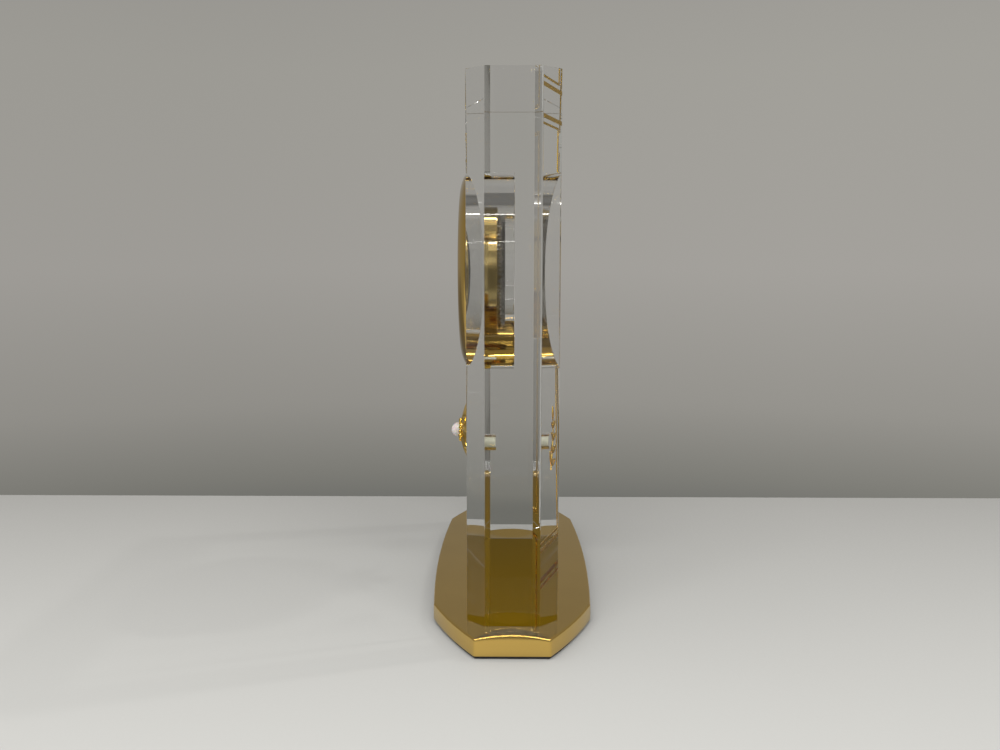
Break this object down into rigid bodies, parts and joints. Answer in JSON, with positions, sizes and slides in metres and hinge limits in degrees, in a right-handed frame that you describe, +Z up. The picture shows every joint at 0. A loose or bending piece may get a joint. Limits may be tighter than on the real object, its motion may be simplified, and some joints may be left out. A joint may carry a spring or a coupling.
{
  "type": "desk clock",
  "caption": "Desk clock: a clear acrylic block on a polished gold base, with a round quartz clock in a front pocket, gold border lines and a rosette that holds a pearl.",
  "frame": {"origin": "on the table, under the middle of the base", "axes": "+X along the block's width, to the right of someone who faces the dial; +Y out of the back, so the dial looks along -Y; +Z up"},
  "size_m": [0.1644, 0.0586, 0.1842],
  "materials": {
    "pad_felt": "matt dark pad",
    "base_gold": "polished gold plate",
    "clear_acrylic": "cast clear acrylic, polished",
    "clear_cement": "clear acrylic cement",
    "inlay_gold": "gold filling",
    "rosette_gold": "polished and satin gold",
    "pearl": "pearl lustre",
    "case_gold": "polished gold plate",
    "clear_rubber": "clear rubber",
    "mineral_glass": "polished mineral glass",
    "rehaut_gold": "satin gold",
    "dial_white": "fine matt white lacquer",
    "dial_print": "black print",
    "hand_gold": "polished gold plate",
    "ring_plastic": "moulded white plastic",
    "plate_plastic": "moulded dark plastic",
    "train_brass": "fine brushed brass",
    "steel": "nickel-plated steel",
    "copper_wire": "enamelled copper winding",
    "board_green": "solder-masked laminate",
    "cap_dark": "black nickel plate",
    "knob_grey": "moulded grey plastic",
    "rotor_magnet": "sintered magnet"
  },
  "bodies": {
    "stand": {"base_pad": "pad_felt", "base_plate": "base_gold", "cement_film": "clear_cement", "acrylic_block": "clear_acrylic", "outer_border_inlay": "inlay_gold", "inner_border_inlay": "inlay_gold", "sprig_inlay": "inlay_gold", "rosette_leaves": "rosette_gold", "rosette_stud": "rosette_gold", "pearl_cup": "rosette_gold", "pearl": "pearl"},
    "clock_insert": {"bezel": "case_gold", "case_drum": "case_gold", "grip_ring": "clear_rubber", "crystal": "mineral_glass", "rehaut_ring": "rehaut_gold", "dial": "dial_white", "minute_track": "dial_print", "hour_batons": "hand_gold", "movement_ring": "ring_plastic", "main_plate": "plate_plastic", "train_bridge": "train_brass", "bridge_screws": "steel", "stator": "steel", "coil": "copper_wire", "circuit_board": "board_green", "quartz_can": "steel", "battery": "steel", "battery_contact": "train_brass", "back_cap": "cap_dark"},
    "hatch": {"battery_hatch": "cap_dark"},
    "knob": {"setting_knob": "knob_grey"},
    "minute_wheel_body": {"minute_wheel": "train_brass"},
    "minute_body": {"cannon_pinion": "train_brass", "minute_hand": "hand_gold"},
    "hour_body": {"hour_wheel": "train_brass", "hour_hand": "hand_gold"},
    "seconds_body": {"seconds_wheel": "train_brass", "seconds_hand": "hand_gold"},
    "third_body": {"third_wheel": "train_brass"},
    "centre_body": {"centre_wheel": "train_brass"},
    "intermediate_body": {"intermediate_wheel": "train_brass"},
    "rotor_body": {"rotor": "rotor_magnet"}
  },
  "joints": [
    {"name": "insert_slide", "type": "slide", "parent": "stand", "child": "clock_insert", "axis": [0, -1, 0], "range_m": [0, 0.03]},
    {"name": "hatch_turn", "type": "hinge", "parent": "clock_insert", "child": "hatch", "pos_m": [0.0079, -0.01, 0.1143], "axis": [0, 1, 0], "range_deg": [-45, 0]},
    {"name": "minute_turn", "type": "hinge", "parent": "clock_insert", "child": "minute_body", "pos_m": [0, -0.01, 0.1212], "axis": [0, 1, 0], "continuous": true},
    {"name": "hour_turn", "type": "hinge", "parent": "clock_insert", "child": "hour_body", "pos_m": [0, -0.01, 0.1212], "axis": [0, 1, 0], "continuous": true},
    {"name": "minute_wheel_turn", "type": "hinge", "parent": "clock_insert", "child": "minute_wheel_body", "pos_m": [-0.00709, -0.01, 0.12245], "axis": [0, 1, 0], "continuous": true},
    {"name": "knob_turn", "type": "hinge", "parent": "clock_insert", "child": "knob", "pos_m": [-0.00499, -0.01, 0.13027], "axis": [0, 1, 0], "continuous": true},
    {"name": "seconds_turn", "type": "hinge", "parent": "clock_insert", "child": "seconds_body", "pos_m": [0, -0.01, 0.1212], "axis": [0, 1, 0], "continuous": true},
    {"name": "third_turn", "type": "hinge", "parent": "clock_insert", "child": "third_body", "pos_m": [-0.00356, -0.01, 0.11612], "axis": [0, 1, 0], "continuous": true},
    {"name": "centre_turn", "type": "hinge", "parent": "clock_insert", "child": "centre_body", "pos_m": [0, -0.01, 0.1212], "axis": [0, 1, 0], "continuous": true},
    {"name": "intermediate_turn", "type": "hinge", "parent": "clock_insert", "child": "intermediate_body", "pos_m": [0, -0.01, 0.1272], "axis": [0, 1, 0], "continuous": true},
    {"name": "rotor_turn", "type": "hinge", "parent": "clock_insert", "child": "rotor_body", "pos_m": [0.00367, -0.01, 0.12977], "axis": [0, 1, 0], "continuous": true}
  ],
  "couplings": [
    {"joint": "minute_wheel_turn", "follows": "minute_turn", "ratio": -0.33333},
    {"joint": "hour_turn", "follows": "minute_turn", "ratio": 0.083333},
    {"joint": "knob_turn", "follows": "minute_turn", "ratio": 0.66667},
    {"joint": "third_turn", "follows": "seconds_turn", "ratio": -0.13333},
    {"joint": "centre_turn", "follows": "seconds_turn", "ratio": 0.016667},
    {"joint": "intermediate_turn", "follows": "seconds_turn", "ratio": -5},
    {"joint": "rotor_turn", "follows": "seconds_turn", "ratio": 30}
  ]
}
